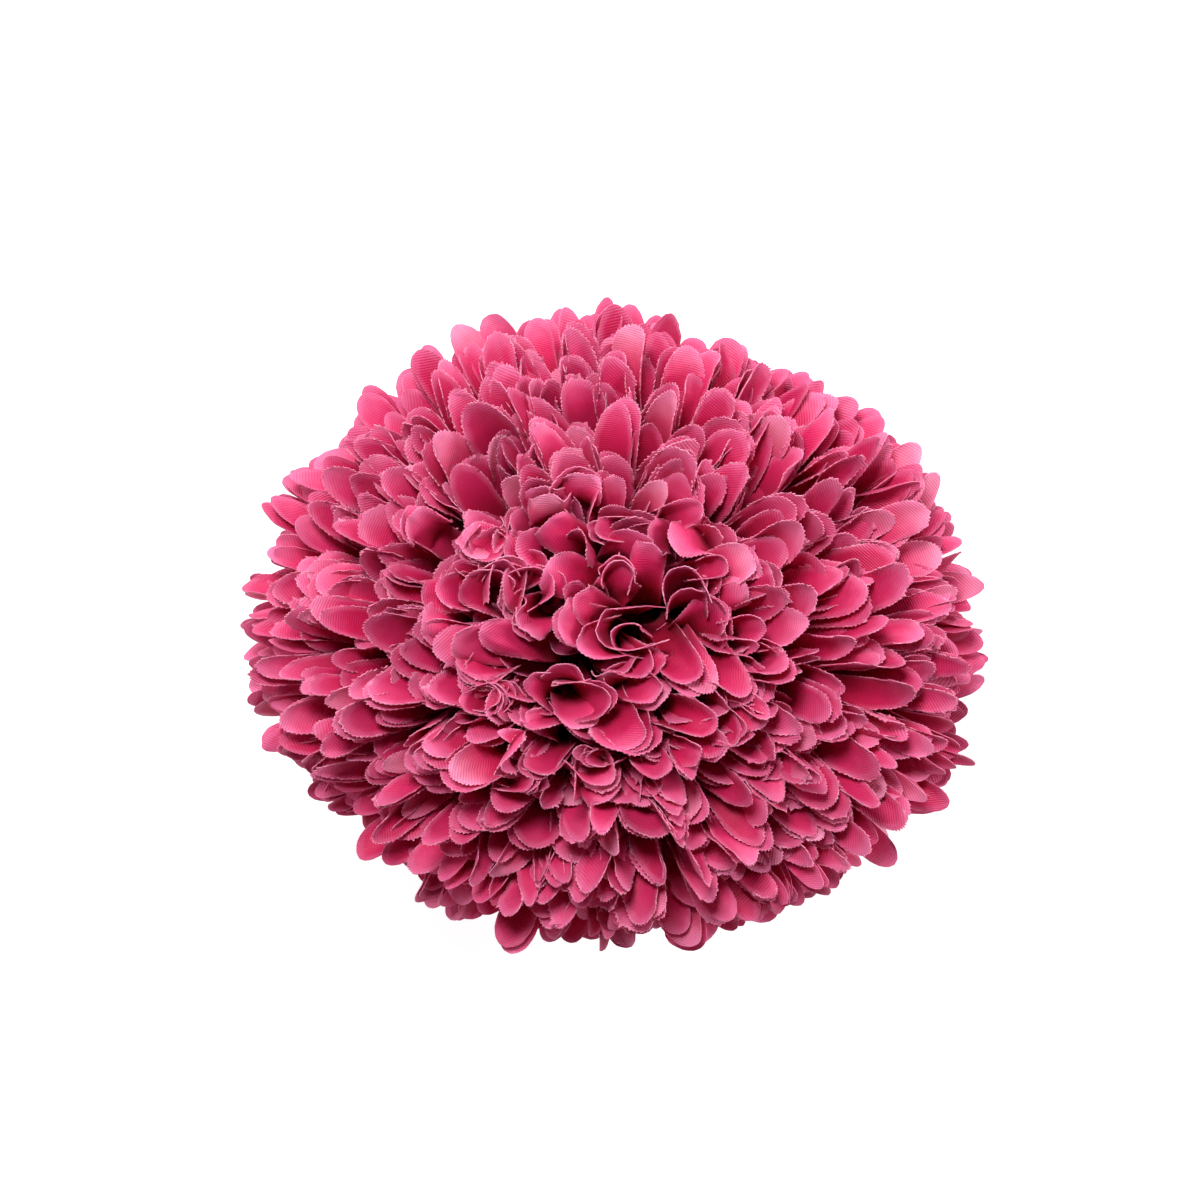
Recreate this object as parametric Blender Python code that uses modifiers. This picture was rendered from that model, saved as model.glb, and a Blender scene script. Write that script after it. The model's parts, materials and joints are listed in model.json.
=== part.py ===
"""Artificial pompon chrysanthemum head: die-cut cloth rosettes on a plastic pin, over a plastic back cup.

The flower's axis is +Z and the head lies on the flat underside of its cup, at z = 0. +X and +Y are the
photograph's right and up, and the petals reach further towards +Y than towards -Y. Sizes are in millimetres,
and MM turns them into Blender's metres.
"""
import math
import random

import bmesh
import bpy
from mathutils import Vector

MM = 0.001
SEED = 11

# The outline of the head, a flattened ball measured from its middle
HALF_WIDTH = 45.0
RISE = 31.0
DROP = 26.0
MIDDLE_Z = 24.0

# The plan is squeezed along Y, and more on the -Y side
SQUEEZE_MEAN = 0.865
SQUEEZE_LEAN = 0.055
SQUEEZE_BLEND = 10.0

# The rosettes, numbered from the top one down
TIER_COUNT = 8
FIRST_TIP_ANGLE = 36.0
LAST_TIP_ANGLE = 122.0
TIP_FLARE = 9.0
TIP_PITCH = 7.2

# How far a rosette runs flat from its collar before it turns up, and how long its tips run straight
FIRST_RUN = 5.0
RUN_STEP = 1.75
WIDEST_TIER = 5
LOW_RUN = 13.0
LOW_RUN_STEP = 1.2
TIP_RUN = 14.0

TOP_COLLAR_Z = 18.3
COLLAR_STEP = 1.15
COLLAR_HOLE = 2.0
COLLAR_RADIUS = 4.2
COLLAR_SIDES = 12
CLOTH = 0.7

# One petal of a rosette: the slits start at this share of the curve, and the petal is three rows of
# (side, share of the curve) points, the last of them its round tip
SLIT_START = 0.42
PETAL_ROWS = (
    ((-1, 0.66), (0, 0.66), (1, 0.66)),
    ((-1, 0.87), (0, 0.87), (1, 0.87)),
    ((-0.6, 0.97), (0, 1.0), (0.6, 0.97)),
)
PETAL_WIDTH = 7.2
PETAL_GAP = 0.55
TROUGH = 0.6
LIFT_STEP = 1.9
LIFT_SPREAD = 1.1
TOP_LIFT_SCALE = 0.5
TOP_LIFT_SHIFT = -1.0
LENGTH_SPREAD = 0.04

# The bud of folded petals in the middle
CORE_RADIUS = 7.6
CORE_HALF_HEIGHT = 12.5
CORE_Z = 30.0
CORE_FLOOR = 19.0
FOLD_ROOT_Z = 32.1
FOLD_ROOT_REACH = 5.5
FOLD_ROOT_RISE = 7.0
FOLD_ROOT_FLARE = 1.5
FOLD_TIP_RISE = 7.0
FOLD_TIP_LEAN = 2.0
FOLD_ROWS = (0.0, 0.6, 1.0)
FOLD_ROOT_WIDTH = 0.6
FOLD_TIP_ROUND = 0.28
FOLD_SINK = 1.0
WIDE_ROLL = 150
BOWL_CLEARANCE = 1.9

# The pin and the cup
EDGE = 0.4
PIN_RADIUS = 1.6
PIN_FOOT = 6.3
PIN_TOP = 23.6
FIT_GAP = 0.3
CUP_RADIUS = 9.5
CUP_NECK = 4.6
CUP_HEIGHT = 9.5
CUP_RIM = 1.6
SOCKET_RADIUS = 1.6
SOCKET_DEPTH = 5.0
TURNED_STEPS = 24

# The cup's flank sweeps from its neck out to its rim on this curve of (radius, height) points
CUP_SWEEP = (
    Vector((CUP_NECK, CUP_HEIGHT - EDGE)),
    Vector((CUP_NECK, CUP_HEIGHT - 4.5)),
    Vector((CUP_RADIUS - 3.5, CUP_RIM)),
    Vector((CUP_RADIUS, CUP_RIM)),
)
CUP_SWEEP_STEPS = 6

ROSE = (0.45, 0.045, 0.11)
DEEP_ROSE = (0.30, 0.02, 0.06)
LEAF_GREEN = (0.13, 0.22, 0.08)
IVORY = (0.70, 0.66, 0.55)

# The folds of the bud, from the photograph: place of the rim (x, y), the way its round side
# faces in degrees, its width, and how far it is rolled in degrees
FOLDS = (
    (1.7, 0.7, 150, 7.0, 200),
    (-4.6, 1.4, 190, 7.0, 110),
    (-3.4, 8.0, 130, 7.6, 90),
    (1.1, 6.5, 5, 6.2, 130),
    (3.9, 8.6, 85, 5.0, 60),
    (7.4, 6.8, 135, 6.6, 160),
    (10.8, 2.4, 60, 6.0, 60),
    (10.4, 5.8, 75, 7.6, 80),
    (7.1, -1.0, -55, 6.4, 120),
    (9.8, -3.4, -50, 6.6, 90),
    (13.1, -3.6, -45, 6.6, 70),
    (-4.2, 12.8, 130, 6.4, 90),
    (-9.0, 11.0, 200, 5.6, 110),
    (-12.6, 6.5, 45, 6.0, 170),
    (-8.2, 5.0, -30, 6.4, 100),
    (-15.8, -0.4, 180, 6.6, 70),
    (-2.8, -5.2, -10, 7.0, 140),
    (-4.6, -8.2, -80, 5.8, 60),
    (1.4, -9.4, -65, 7.2, 90),
    (-11.8, -5.8, -10, 7.0, 130),
    (-15.0, -6.6, -130, 5.4, 50),
    (-8.2, -12.4, -90, 5.4, 100),
    (-8.0, -8.8, 90, 5.4, 60),
    (-2.8, -13.2, 200, 6.6, 180),
    (1.1, -4.8, 100, 5.4, 150),
    (9.2, -9.6, -35, 6.8, 70),
    (12.8, 9.6, 20, 6.0, 80),
    (0.3, 11.9, 40, 6.4, 70),
    (8.6, 12.2, 140, 5.4, 60),
    (4.0, -13.6, -60, 6.6, 60),
    (4.4, 2.8, 60, 6.0, 90),
    (-1.6, 3.6, 60, 6.0, 120),
    (5.4, -5.4, -60, 6.2, 90),
    (-7.8, -1.8, 170, 6.4, 120),
)


def outline(angle):
    """Radius and height of the head's outline at an angle from the +Z axis."""
    half_height = RISE if math.cos(angle) > 0 else DROP
    reach = 1 / math.hypot(math.cos(angle) / half_height, math.sin(angle) / HALF_WIDTH)
    return reach * math.sin(angle), MIDDLE_Z + reach * math.cos(angle)


def squeeze(point):
    """Flatten the round plan along Y, more on the -Y side."""
    factor = SQUEEZE_MEAN + SQUEEZE_LEAN * math.tanh(point.y / SQUEEZE_BLEND)
    return Vector((point.x, point.y * factor, point.z))


def unsqueezed(y):
    """The y that squeeze() brings to the given one."""
    full = y
    for _ in range(6):
        full = y / (SQUEEZE_MEAN + SQUEEZE_LEAN * math.tanh(full / SQUEEZE_BLEND))
    return full


def bezier(points, t):
    """Point and direction on a cubic curve; past its end the curve runs on straight."""
    over = max(t - 1.0, 0.0)
    t = min(t, 1.0)
    a, b, c, d = points
    u = 1.0 - t
    place = a * u ** 3 + b * 3 * t * u * u + c * 3 * t * t * u + d * t ** 3
    slope = (b - a) * 3 * u * u + (c - b) * 6 * u * t + (d - c) * 3 * t * t
    return place + slope * over, slope.normalized()


def tier_angle(tier):
    return math.radians(FIRST_TIP_ANGLE + (LAST_TIP_ANGLE - FIRST_TIP_ANGLE) * tier / (TIER_COUNT - 1))


def tier_curve(tier):
    """Section of a rosette, as (radius, height) control points from its collar to its tips."""
    angle = tier_angle(tier)
    radius, height = outline(angle)
    flare = angle + math.radians(TIP_FLARE)
    run = FIRST_RUN + RUN_STEP * tier
    if tier >= WIDEST_TIER:
        run = LOW_RUN - LOW_RUN_STEP * (tier - WIDEST_TIER)
    collar = Vector((COLLAR_RADIUS, TOP_COLLAR_Z - COLLAR_STEP * tier))
    tip = Vector((radius, height))
    return collar, collar + Vector((run, 0)), tip - TIP_RUN * Vector((math.sin(flare), math.cos(flare))), tip


def around(radius, azimuth, height):
    return Vector((radius * math.cos(azimuth), radius * math.sin(azimuth), height))


def ease(value):
    value = min(max(value, 0.0), 1.0)
    return value * value * (3 - 2 * value)


def bridge(mesh, inner, outer):
    """Join two rings of unlike counts; each ring is a list of (azimuth, vertex)."""
    i = 0
    k = 0
    while i < len(inner) or k < len(outer):
        step_inner = inner[(i + 1) % len(inner)][0] + 2 * math.pi * ((i + 1) // len(inner))
        step_outer = outer[(k + 1) % len(outer)][0] + 2 * math.pi * ((k + 1) // len(outer))
        here = inner[i % len(inner)][1], outer[k % len(outer)][1]
        if k >= len(outer) or (i < len(inner) and step_inner < step_outer):
            mesh.faces.new((here[0], here[1], inner[(i + 1) % len(inner)][1]))
            i += 1
        else:
            mesh.faces.new((here[0], here[1], outer[(k + 1) % len(outer)][1]))
            k += 1


def ring(mesh, count, phase, radius, height):
    made = []
    for step in range(count):
        azimuth = phase + 2 * math.pi * step / count
        made.append((azimuth, mesh.verts.new(around(radius, azimuth, height))))
    return made


def rosette(tier):
    """A die-cut rosette: flat collar, bowl, and one ring of tongues between slits."""
    draw = random.Random(SEED + tier)
    curve = tier_curve(tier)
    count = round(2 * math.pi * curve[3].x / TIP_PITCH)
    pitch = 2 * math.pi / count
    phase = draw.uniform(0, pitch)
    mesh = bmesh.new()
    collar_z = curve[0].y
    waist = bezier(curve, SLIT_START / 2)[0]
    slit = bezier(curve, SLIT_START)[0]
    hole_ring = ring(mesh, COLLAR_SIDES, 0, COLLAR_HOLE, collar_z)
    collar_ring = ring(mesh, COLLAR_SIDES, 0, COLLAR_RADIUS, collar_z)
    waist_ring = ring(mesh, count, phase, waist.x, waist.y)
    slit_ring = ring(mesh, count, phase, slit.x, slit.y)
    bridge(mesh, hole_ring, collar_ring)
    bridge(mesh, collar_ring, waist_ring)
    bridge(mesh, waist_ring, slit_ring)
    for petal in range(count):
        root = slit_ring[petal][1], slit_ring[(petal + 1) % count][1]
        lift = draw.choice((-LIFT_STEP, LIFT_STEP)) + draw.uniform(-LIFT_SPREAD, LIFT_SPREAD)
        if tier == 0:
            lift = lift * TOP_LIFT_SCALE + TOP_LIFT_SHIFT
        stretch = 1 + draw.uniform(-LENGTH_SPREAD, LENGTH_SPREAD)
        tongue(mesh, curve, root, phase + pitch * (petal + 0.5), pitch, lift, stretch)
    return finish_cloth("petal_tier_%02d" % (tier + 1), mesh)


def tongue(mesh, curve, root, azimuth, pitch, lift, stretch):
    """One petal: two root points, two rows of three, and a round tip of three."""
    made = []
    for row in PETAL_ROWS:
        line = []
        for side, t in row:
            along = SLIT_START + (t - SLIT_START) * stretch
            place, slope = bezier(curve, along)
            width = min(PETAL_WIDTH, place.x * pitch - PETAL_GAP)
            free = (t - SLIT_START) / (1 - SLIT_START)
            rise = lift * free * free + TROUGH * ease(free * 2) * side * side
            place = place + Vector((-slope.y, slope.x)) * rise
            line.append(mesh.verts.new(around(place.x, azimuth + side * width / 2 / place.x, place.y)))
        made.append(line)
    first = made[0]
    mesh.faces.new((root[0], first[0], first[1]))
    mesh.faces.new((root[0], first[1], root[1]))
    mesh.faces.new((root[1], first[1], first[2]))
    for low, high in zip(made, made[1:]):
        for k in (0, 1):
            quad_split(mesh, low[k], high[k], high[k + 1], low[k + 1], k)


def quad_split(mesh, a, b, c, d, odd):
    """Two triangles for one quad, with the cut running towards the petal's middle."""
    if odd:
        mesh.faces.new((a, b, c))
        mesh.faces.new((a, c, d))
    else:
        mesh.faces.new((a, b, d))
        mesh.faces.new((b, c, d))


def finish_cloth(name, surface):
    """Squeeze an open surface, scale it to metres and give it the cloth's thickness."""
    for vert in surface.verts:
        vert.co = squeeze(vert.co) * MM
    piece = new_object(name, surface)
    solid = piece.modifiers.new("cloth", "SOLIDIFY")
    solid.thickness = CLOTH * MM
    solid.offset = 0
    return piece


def new_object(name, surface):
    data = bpy.data.meshes.new(name)
    bmesh.ops.recalc_face_normals(surface, faces=surface.faces)
    surface.to_mesh(data)
    surface.free()
    piece = bpy.data.objects.new(name, data)
    head_collection.objects.link(piece)
    return piece


def bowl_radius(height):
    """Inside radius of the top rosette at a height, for petals of the bud that must stay in it."""
    curve = tier_curve(0)
    inner = curve[0].x
    for step in range(41):
        place = bezier(curve, step / 40)[0]
        if place.y > height:
            break
        inner = place.x
    return inner - BOWL_CLEARANCE


def fold(x, y, facing, width, roll):
    """A petal of the bud, standing on the core and rolled across its width, as an open surface."""
    rim_plan = Vector((x, unsqueezed(y)))
    angle = math.asin(min(rim_plan.length / HALF_WIDTH, 1.0))
    rim = Vector((rim_plan.x, rim_plan.y, outline(angle)[1] - FOLD_SINK))
    out = Vector((rim_plan.x, rim_plan.y, 0)).normalized()
    face = math.radians(facing)
    lean = Vector((math.cos(face), math.sin(face), 0))
    across = Vector((-lean.y, lean.x, 0))
    root = out * min(FOLD_ROOT_REACH, rim_plan.length * 0.5) + Vector((0, 0, FOLD_ROOT_Z))
    above_root = root + Vector((0, 0, FOLD_ROOT_RISE)) + out * FOLD_ROOT_FLARE
    below_rim = rim - Vector((0, 0, FOLD_TIP_RISE)) - lean * FOLD_TIP_LEAN
    curve = root, above_root, below_rim, rim
    columns = 7 if roll >= WIDE_ROLL else 5
    mesh = bmesh.new()
    grid = []
    for row in FOLD_ROWS:
        line = []
        for column in range(columns):
            side = 2 * column / (columns - 1) - 1
            t = row
            if row == FOLD_ROWS[-1]:
                t -= FOLD_TIP_ROUND * (1 - math.sqrt(1 - 0.9 * side * side))
            place, slope = bezier(curve, t)
            here = width * (FOLD_ROOT_WIDTH + (1 - FOLD_ROOT_WIDTH) * ease(t / FOLD_ROWS[1]))
            turn = math.radians(roll) * side / 2
            radius = here / math.radians(roll)
            inward = slope.cross(across).normalized()
            place = place + across * radius * math.sin(turn) + inward * radius * (1 - math.cos(turn))
            line.append(mesh.verts.new(kept_in_bowl(place)))
        grid.append(line)
    for low, high in zip(grid, grid[1:]):
        for k in range(columns - 1):
            quad_split(mesh, low[k], high[k], high[k + 1], low[k + 1], k >= columns // 2)
    return finish_cloth("fold", mesh)


def kept_in_bowl(place):
    plan = Vector((place.x, place.y))
    room = bowl_radius(place.z)
    if plan.length > room:
        plan = plan.normalized() * room
    return Vector((plan.x, plan.y, place.z))


def solid_copy(piece):
    """Replace an object by its evaluated mesh, with the modifiers applied."""
    bpy.context.view_layer.update()
    data = bpy.data.meshes.new_from_object(piece.evaluated_get(bpy.context.evaluated_depsgraph_get()))
    piece.modifiers.clear()
    piece.data = data


def bud():
    """The middle of the head: folded petals fused to a small core that the pin runs into."""
    core_mesh = bmesh.new()
    bmesh.ops.create_uvsphere(core_mesh, u_segments=12, v_segments=8, radius=1.0)
    for vert in core_mesh.verts:
        height = CORE_Z + vert.co.z * CORE_HALF_HEIGHT
        vert.co = squeeze(Vector((vert.co.x * CORE_RADIUS, vert.co.y * CORE_RADIUS, height))) * MM
    floor = Vector((0, 0, CORE_FLOOR * MM))
    everything = core_mesh.verts[:] + core_mesh.edges[:] + core_mesh.faces[:]
    up = Vector((0, 0, 1))
    cut = bmesh.ops.bisect_plane(core_mesh, geom=everything, plane_co=floor, plane_no=up, clear_inner=True)
    edges = [item for item in cut["geom_cut"] if isinstance(item, bmesh.types.BMEdge)]
    bmesh.ops.holes_fill(core_mesh, edges=edges)
    core = new_object("crown_folds", core_mesh)
    operands = bpy.data.collections.new("fused_folds")
    bpy.context.scene.collection.children.link(operands)
    for values in FOLDS:
        petal = fold(*values)
        solid_copy(petal)
        head_collection.objects.unlink(petal)
        operands.objects.link(petal)
    union = core.modifiers.new("folds", "BOOLEAN")
    union.operation = "UNION"
    union.operand_type = "COLLECTION"
    union.collection = operands
    union.solver = "MANIFOLD"
    solid_copy(core)
    for petal in list(operands.objects):
        bpy.data.objects.remove(petal)
    bpy.data.collections.remove(operands)
    keep_main_body(core)
    hole_radius = PIN_RADIUS + FIT_GAP
    hole_top = PIN_TOP + FIT_GAP
    hole_foot = CORE_FLOOR - COLLAR_STEP
    cutter = turned("pin_hole", (
        (0, hole_top), (hole_radius, hole_top), (hole_radius, hole_foot), (0, hole_foot)))
    solid_copy(cutter)
    head_collection.objects.unlink(cutter)
    cutter_collection.objects.link(cutter)
    cutter.hide_render = True
    cutter.display_type = "WIRE"
    hole = core.modifiers.new("pin hole", "BOOLEAN")
    hole.operation = "DIFFERENCE"
    hole.object = cutter
    hole.solver = "MANIFOLD"
    return core


def keep_main_body(piece):
    """Drop the scraps and sealed pockets that fusing leaves: only the largest shell stays."""
    mesh = bmesh.new()
    mesh.from_mesh(piece.data)
    waiting = set(mesh.verts)
    shells = []
    while waiting:
        shell = {waiting.pop()}
        front = list(shell)
        while front:
            for edge in front.pop().link_edges:
                for vert in edge.verts:
                    if vert in waiting:
                        waiting.discard(vert)
                        shell.add(vert)
                        front.append(vert)
        shells.append(shell)
    shells.sort(key=len)
    for shell in shells[:-1]:
        bmesh.ops.delete(mesh, geom=list(shell), context="VERTS")
    mesh.to_mesh(piece.data)
    mesh.free()


def turned(name, profile):
    """A turned solid from (radius, height) points that run down its outer side."""
    mesh = bmesh.new()
    line = [mesh.verts.new(Vector((radius, 0, height)) * MM) for radius, height in profile]
    for low, high in zip(line, line[1:]):
        mesh.edges.new((low, high))
    data = bpy.data.meshes.new(name)
    mesh.to_mesh(data)
    mesh.free()
    piece = bpy.data.objects.new(name, data)
    head_collection.objects.link(piece)
    screw = piece.modifiers.new("turn", "SCREW")
    screw.steps = TURNED_STEPS
    screw.render_steps = TURNED_STEPS
    screw.use_merge_vertices = True
    screw.merge_threshold = 0.00001
    return piece


def back_cup():
    """The plastic cup under the petals: pocket for the pin above, socket for a stem wire below."""
    pocket = PIN_RADIUS + FIT_GAP
    pocket_floor = PIN_FOOT - FIT_GAP
    sweep = [bezier(CUP_SWEEP, step / CUP_SWEEP_STEPS)[0][:] for step in range(CUP_SWEEP_STEPS + 1)]
    return turned("back_cup", (
        (0, pocket_floor), (pocket, pocket_floor), (pocket, CUP_HEIGHT), (CUP_NECK - EDGE, CUP_HEIGHT),
        *sweep, (CUP_RADIUS, EDGE), (CUP_RADIUS - EDGE, 0),
        (SOCKET_RADIUS + EDGE, 0), (SOCKET_RADIUS, EDGE), (SOCKET_RADIUS, SOCKET_DEPTH), (0, SOCKET_DEPTH)))


def centre_pin():
    """The plastic pin that all the collars are threaded on."""
    return turned("centre_pin", (
        (0, PIN_TOP), (PIN_RADIUS - EDGE, PIN_TOP), (PIN_RADIUS, PIN_TOP - EDGE),
        (PIN_RADIUS, PIN_FOOT + EDGE), (PIN_RADIUS - EDGE, PIN_FOOT), (0, PIN_FOOT)))


def paint(piece, colour, roughness):
    material = bpy.data.materials.new(piece.name)
    material.use_nodes = True
    shader = material.node_tree.nodes["Principled BSDF"]
    shader.inputs["Base Color"].default_value = (*colour, 1)
    shader.inputs["Roughness"].default_value = roughness
    shader.inputs["Metallic"].default_value = 0
    piece.data.materials.clear()
    piece.data.materials.append(material)


def centre_outline(pieces):
    """Stand the pieces on one empty that brings the middle of their outline over the origin."""
    bpy.context.view_layer.update()
    graph = bpy.context.evaluated_depsgraph_get()
    corners = [Vector(corner) for piece in pieces for corner in piece.evaluated_get(graph).bound_box]
    stand = bpy.data.objects.new("head_stand", None)
    head_collection.objects.link(stand)
    for axis in (0, 1):
        along = [corner[axis] for corner in corners]
        stand.location[axis] = -(min(along) + max(along)) / 2
    for piece in [*pieces, *cutter_collection.objects]:
        piece.parent = stand


def new_collection(name):
    made = bpy.data.collections.new(name)
    bpy.context.scene.collection.children.link(made)
    return made


for item in list(bpy.data.objects):
    bpy.data.objects.remove(item)
head_collection = new_collection("chrysanthemum_head")
cutter_collection = new_collection("cutters")

cup = back_cup()
pin = centre_pin()
crown = bud()
rosettes = [rosette(tier) for tier in range(TIER_COUNT)]
paint(cup, LEAF_GREEN, 0.5)
paint(pin, IVORY, 0.45)
paint(crown, DEEP_ROSE, 0.85)
for piece in rosettes:
    paint(piece, ROSE, 0.85)
centre_outline([cup, pin, crown, *rosettes])
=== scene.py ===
"""The looks of the pompon chrysanthemum head: woven cloth petals with frayed rims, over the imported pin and
cup.

The petals are flat die-cut tongues. One node tree instances them, bends each along its own curve, rolls and
wrinkles it, and squeezes the whole head as the CAD does. Sizes are in millimetres, turned into metres by MM.
"""
import json
import math
import random

import bmesh
import bpy
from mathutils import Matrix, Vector

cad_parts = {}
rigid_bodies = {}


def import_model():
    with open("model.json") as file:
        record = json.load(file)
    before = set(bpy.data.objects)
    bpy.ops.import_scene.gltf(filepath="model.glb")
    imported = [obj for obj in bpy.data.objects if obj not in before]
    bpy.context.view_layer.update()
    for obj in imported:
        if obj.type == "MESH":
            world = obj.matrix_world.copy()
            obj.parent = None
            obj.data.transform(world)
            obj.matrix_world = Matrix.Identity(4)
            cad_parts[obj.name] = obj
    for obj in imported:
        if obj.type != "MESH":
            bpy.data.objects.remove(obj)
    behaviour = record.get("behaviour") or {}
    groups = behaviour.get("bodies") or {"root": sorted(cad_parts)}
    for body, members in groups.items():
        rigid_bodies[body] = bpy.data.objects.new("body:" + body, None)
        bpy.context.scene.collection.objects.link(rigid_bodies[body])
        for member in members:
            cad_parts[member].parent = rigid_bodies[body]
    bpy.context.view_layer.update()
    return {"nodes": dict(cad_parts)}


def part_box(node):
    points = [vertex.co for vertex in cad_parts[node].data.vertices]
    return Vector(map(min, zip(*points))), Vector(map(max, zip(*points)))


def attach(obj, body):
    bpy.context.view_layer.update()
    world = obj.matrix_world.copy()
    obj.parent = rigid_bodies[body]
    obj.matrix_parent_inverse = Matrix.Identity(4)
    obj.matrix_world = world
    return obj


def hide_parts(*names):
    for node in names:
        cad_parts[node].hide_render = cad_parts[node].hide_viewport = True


MM = 0.001
SEED = 11

# The outline of the head, the plan's squeeze along Y, as in the CAD, and the rounds that undo the squeeze
HALF_WIDTH = 45.0
RISE = 31.0
DROP = 26.0
MIDDLE_Z = 24.0
SQUEEZE_MEAN = 0.865
SQUEEZE_LEAN = 0.055
SQUEEZE_BLEND = 10.0
SQUEEZE_ROUNDS = 6

# The rosettes, as in the CAD
TIER_COUNT = 8
FIRST_TIP_ANGLE = 36.0
LAST_TIP_ANGLE = 122.0
TIP_FLARE = 9.0
TIP_PITCH = 7.2
FIRST_RUN = 5.0
RUN_STEP = 1.75
WIDEST_TIER = 5
LOW_RUN = 13.0
LOW_RUN_STEP = 1.2
TIP_RUN = 14.0
TOP_COLLAR_Z = 18.3
COLLAR_STEP = 1.15
COLLAR_HOLE = 2.0
COLLAR_RADIUS = 4.2
SLIT_START = 0.42
LIFT_STEP = 1.9
LIFT_SPREAD = 1.1
TOP_LIFT_SCALE = 0.5
TOP_LIFT_SHIFT = -1.0
LENGTH_SPREAD = 0.04

# How far a rosette's bowl reaches past the start of its slits, as a share of the section, and its mesh
BOWL_OVERLAP = 0.06
BOWL_RINGS = 9
BOWL_SEGMENTS = 64

# The bud's core, lower than the CAD's so that the gaps between the folds stay deep: its size, the start and
# span of its section as shares of a half circle, and its dents
CORE_RADIUS = 7.6
CORE_HALF_HEIGHT = 9.5
CORE_Z = 28.0
CORE_FLOOR = 19.0
CORE_START = 0.02
CORE_SPAN = 0.9
CORE_STEPS = 12
CORE_DENT = 0.06
CORE_DENT_TURN = 2.1

# The uncut cloth under the petals: its colour's place along a petal, so near the root that it takes the dark
# root colour, partly painted shade; its distance to a rim, tone and dullness
BOWL_ALONG = 0.12
BOWL_VALUES = {"rim": 5.0, "tone": 0.5, "dull": 0.3}

# A fold of the bud: how deep its root lies under its rim, how far it rises before it leans out, the least run
# of its lean and its share of the way from base to rim, and how much more it is rolled at its root
FOLD_DEPTH = 15.0
FOLD_RISE = 7.0
FOLD_TIP_RUN = 5.0
FOLD_LEAN_SHARE = 0.75
FOLD_ROOT_ROLL = 1.3

# The limits of the chance differences between the bud's sheets, in millimetres and radians
FOLD_CHANCES = {
    "sway": (-0.8, 0.8), "twist": (-0.4, 0.4), "curl": (-1.6, 0.2), "ripple": (0.6, 1.6), "edge": (-1.5, 1.5),
}

# The sheets of a fold: each one's share of the roll; then the further ones' shift aside, added width, added
# lean in degrees and depth, and the number of sheets from which a stack lies closer
SHEET_ROLL = (0.95, 1.15)
SHEET_ASIDE = (-0.7, 0.7)
SHEET_WIDER = (-0.5, 0.4)
SHEET_TILT = (-9, 9)
SHEET_SINK = 0.2
SHEET_SINK_SLOPE = 0.35
THICK_STACK = 4
THICK_STACK_SPACING = 0.6

# The lower sheets between the folds of the bud: how many, how far out, how each leans and turns, and the
# limits of its depth under the outline, its width, and its roll and lean in degrees
FILLERS = 34
FILLER_REACH = 16.5
FILLER_LEAN = 4
FILLER_TURN = (-1.2, 1.2)
FILLER_LIMITS = ((6.0, 10.0), (5, 6.5), (70, 160), (15, 45))
GOLDEN_TURN = 2.39996

# Cloth: its thickness, and the distances between its ribs and between the threads across them
CLOTH = 0.11
RIB_PITCH = 0.33
THREAD_PITCH = RIB_PITCH * 0.8

# Wrinkles and waving rims, deeper in the bud, and the angle in degrees from which an edge is sharp
PETAL_WRINKLE = 0.55
PETAL_RIM_WAVE = 0.3
BUD_WRINKLE = 0.9
BUD_RIM_WAVE = 0.9
WRINKLE_SIZE = 3.6
RIM_WAVE_SIZE = 1.6
BUD_SEED = 50
SHARP_ANGLE = 60

# The chance differences between petals, as limits or the spread of a bell curve, in millimetres and radians
ROOT_ROLL = (0.9, 1.7)
TIP_ROLL = (0.5, 1.5)
SWAY_SPREAD = 1.6
TWIST_SPREAD = 0.55
CURL = (-1.3, 0.5)
RIPPLE = (0.1, 0.6)
EDGE = (-0.3, 0.7)
GRAIN_DEGREES = (35, 88)

# The petals of the upper rosettes are wide, and those of the lower ones narrow and more: their width, the
# twist of the odd ones, and how many of LAYERS they fill
FIRST_NARROW_TIER = 3
WIDE_PETALS = {"width": (4.2, 6.3), "odd_twist": (0.5, 1.4), "layers": 3}
NARROW_PETALS = {"width": (3.5, 5.3), "odd_twist": (0.5, 0.9), "layers": 4}

# The petals between the CAD's: the least and most of the way up to the next rosette, the longest reach, and
# the azimuth as a share of the pitch; then the limits of their turn and lift, and the shortest reach
LAYERS = ((0.35, 0.75, 1.02, 0.5), (0.0, 0.35, 0.97, 0.5), (0.3, 0.7, 0.92, 0.0), (0.1, 0.6, 1.0, 0.1))
LAYER_TURN = (-0.25, 0.25)
LAYER_LIFT = (-3.5, 3.5)
LAYER_REACH = 0.84

# The share of petals that are twisted out of line, and how far they lean aside and roll up
ODD_SHARE = 0.28
ODD_SWAY = (-2.5, 2.5)
ODD_TIP_ROLL = (1.3, 2.4)

# The share of petals with a second sheet behind, how far behind and aside it lies, the part of that which
# its lead takes, and the limits by which it differs
DOUBLED_SHARE = 0.5
BEHIND_GAP = 0.6
BEHIND_ASIDE = (-0.8, 0.8)
BEHIND_LEAD = 0.6
BEHIND_CHANCES = {
    "reach": (-0.06, 0.04), "sway": (-1.2, 1.2), "twist": (-0.15, 0.15), "lift": (-0.1, -0.6),
    "curl": (0.0, -0.4),
}
BEHIND_GRAIN = (-0.4, 0.4)

# Sides of the head with shorter or longer petals: azimuth and half spread in degrees, share of length
LOPSIDED = ((60, 70, -0.07), (215, 35, -0.05), (290, 60, 0.06), (345, 40, 0.04))
FIRST_LOPSIDED_TIER = 2

# The petals of neighbouring rosettes lean together in clumps, with gaps between: how far they lean aside and
# up, the waves round the head, their drift from one rosette to the next, and their start; and how much longer
# a petal is for each millimetre up
CLUMPS = ((2.0, 7, 0.9, 0.5), (1.3, 12, -1.1, 2.1))
HEAVES = ((1.1, 5, 1.0, 1.0), (0.9, 9, -0.8, 4.0))
HEAVE_REACH = 0.012

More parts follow.
